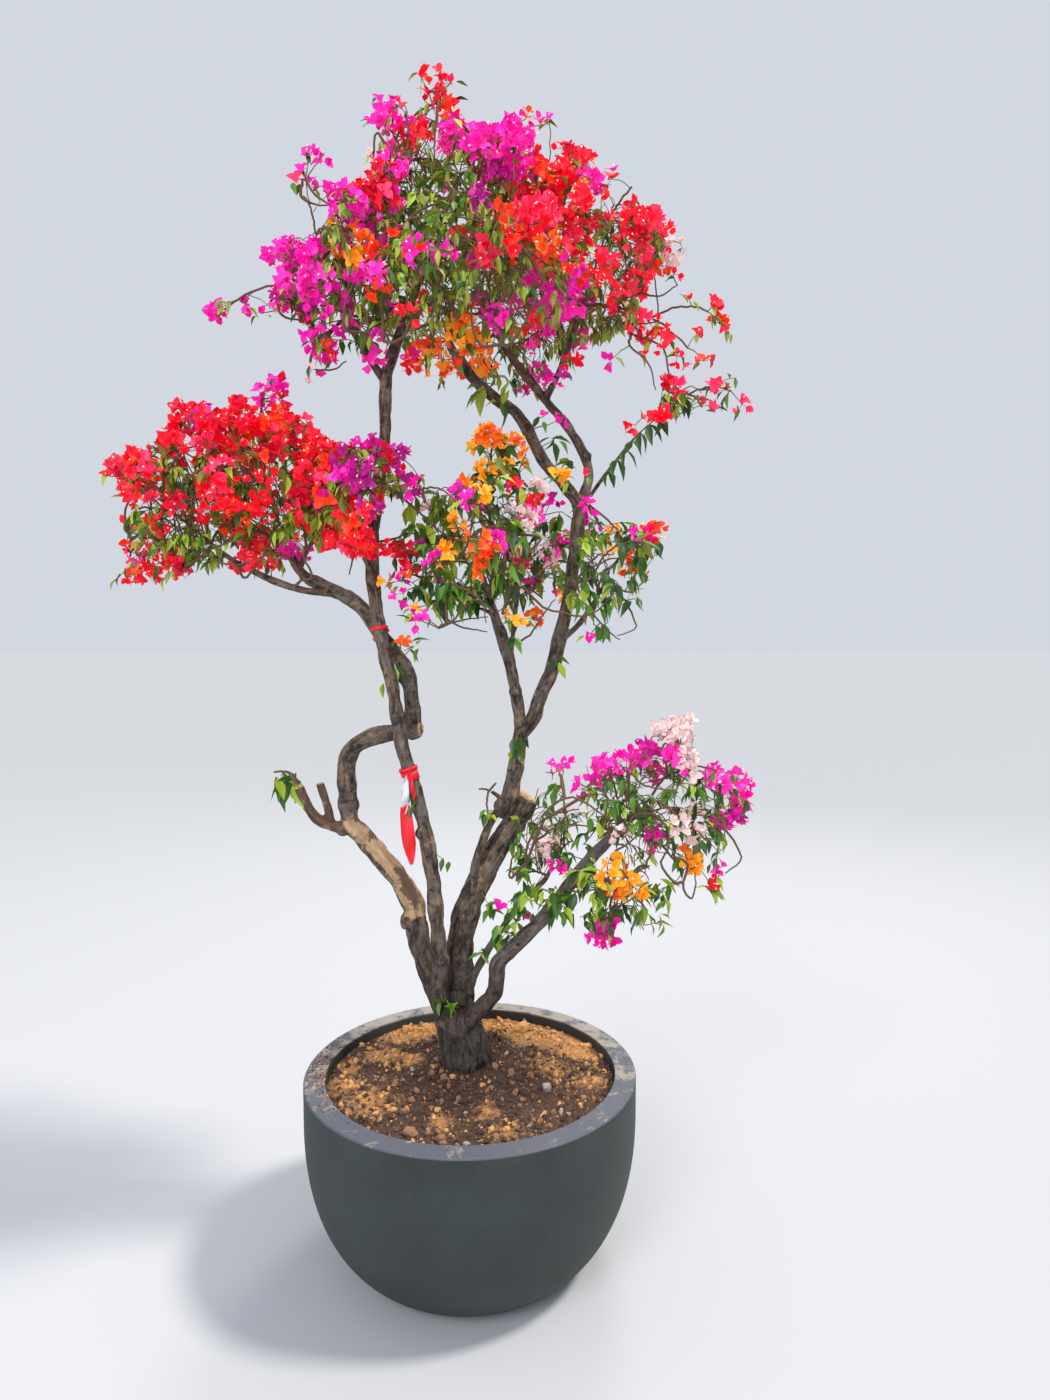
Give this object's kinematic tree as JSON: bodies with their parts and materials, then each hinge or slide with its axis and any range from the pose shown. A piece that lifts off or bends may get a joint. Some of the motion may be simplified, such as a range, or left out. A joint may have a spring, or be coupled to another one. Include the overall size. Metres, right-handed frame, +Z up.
{
  "type": "potted bougainvillea bush",
  "caption": "Tall flowering shrub with bare twisted boughs and tiers of papery red, pink and amber bracts, standing in a round bowl planter.",
  "frame": {"origin": "centre of the planter's flat underside", "axes": "+Z up along the plant, -Y towards the front of the planter, +X towards the side that the low bough reaches out to"},
  "size_m": [1.7807, 1.106, 3.1948],
  "materials": {
    "planter_shell": "smooth dark grey fibre concrete, matt with a soft sheen, dusty on the rim",
    "potting_soil": "dry dark brown soil with clods and small pebbles",
    "bark": "rough fissured grey-brown bark, peeled to tan wood in patches",
    "green_leaves": "thin soft leaves with a light sheen",
    "scarlet_bracts": "thin papery bracts, matt",
    "magenta_bracts": "thin papery bracts, matt",
    "amber_bracts": "thin papery bracts, matt",
    "pale_bracts": "thin papery bracts, matt"
  },
  "bodies": {
    "root": {"bough_centre": "bark", "bough_left_hook": "bark", "bough_left_lower": "bark", "bough_left_upper": "bark", "bough_low_right": "bark", "bough_low_thin": "bark", "bough_middle": "bark", "bough_right_leader": "bark", "bough_right_lower": "bark", "bough_right_side": "bark", "bough_right_upper": "bark", "centre_bough_back": "bark", "centre_bough_right": "bark", "crown_bough_back": "bark", "crown_bough_front": "bark", "crown_bough_left": "bark", "crown_bough_right": "bark", "foliage_centre_back": "magenta_bracts", "foliage_centre_left": "amber_bracts", "foliage_centre_right": "amber_bracts", "foliage_crown_back": "scarlet_bracts", "foliage_crown_front": "amber_bracts", "foliage_crown_left": "magenta_bracts", "foliage_crown_right": "scarlet_bracts", "foliage_crown_top": "magenta_bracts", "foliage_left_inner": "magenta_bracts", "foliage_left_middle": "scarlet_bracts", "foliage_left_outer": "scarlet_bracts", "foliage_low_right_front": "amber_bracts", "foliage_low_right_inner": "pale_bracts", "foliage_low_right_outer": "magenta_bracts", "foliage_shoot": "scarlet_bracts", "foliage_side": "green_leaves", "foliage_stub": "green_leaves", "left_bough_inner": "bark", "left_bough_outer": "bark", "low_bough_front": "bark", "planter": "planter_shell", "shoot_right": "bark", "soil": "potting_soil", "stub_left_inner": "bark", "stub_left_outer": "bark", "trunk": "bark"}
  },
  "joints": []
}
